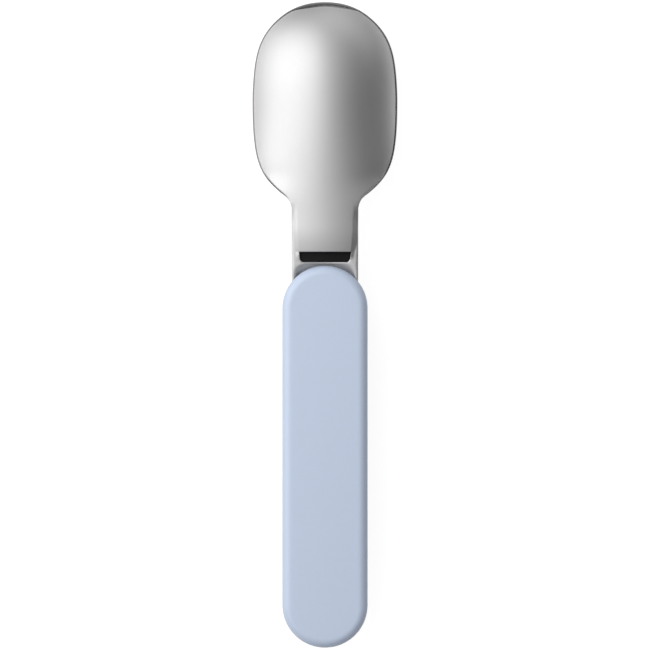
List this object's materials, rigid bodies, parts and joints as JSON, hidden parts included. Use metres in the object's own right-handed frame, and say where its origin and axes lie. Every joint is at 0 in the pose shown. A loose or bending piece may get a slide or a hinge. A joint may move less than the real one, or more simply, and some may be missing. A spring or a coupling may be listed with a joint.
{
  "type": "folding spoon",
  "caption": "Folding spoon: a stamped steel bowl on a slotted channel neck, hinged on a cross pin in a flat plastic handle with full round ends and a rounded edge.",
  "frame": {"origin": "middle of the opened spoon's box, on the plane that the handle's front face lies on", "axes": "+Y from the handle to the tip of the bowl, +Z out of the spoon's back, +X to the right seen from the back"},
  "size_m": [0.0376, 0.167, 0.0112],
  "materials": {
    "head_steel": "fine satin, softly reflecting",
    "pin_steel": "plain bright",
    "blue_plastic": "matte, finely grained",
    "black_plastic": "matte",
    "white_plastic": "matte"
  },
  "bodies": {
    "handle": {"handle_back_cover": "blue_plastic", "handle_front_cover": "blue_plastic", "hinge_pin": "pin_steel", "hinge_block": "black_plastic", "detent_spring": "pin_steel", "block_screw_left": "pin_steel", "block_screw_right": "pin_steel", "pivot_washer_left": "white_plastic", "pivot_washer_right": "white_plastic"},
    "head": {"spoon_head": "head_steel", "neck_insert": "black_plastic"}
  },
  "joints": [
    {"name": "head_fold", "type": "hinge", "parent": "handle", "child": "head", "pos_m": [0, 0.004, 0.0048], "axis": [-1, 0, 0], "range_deg": [0, 172]}
  ]
}
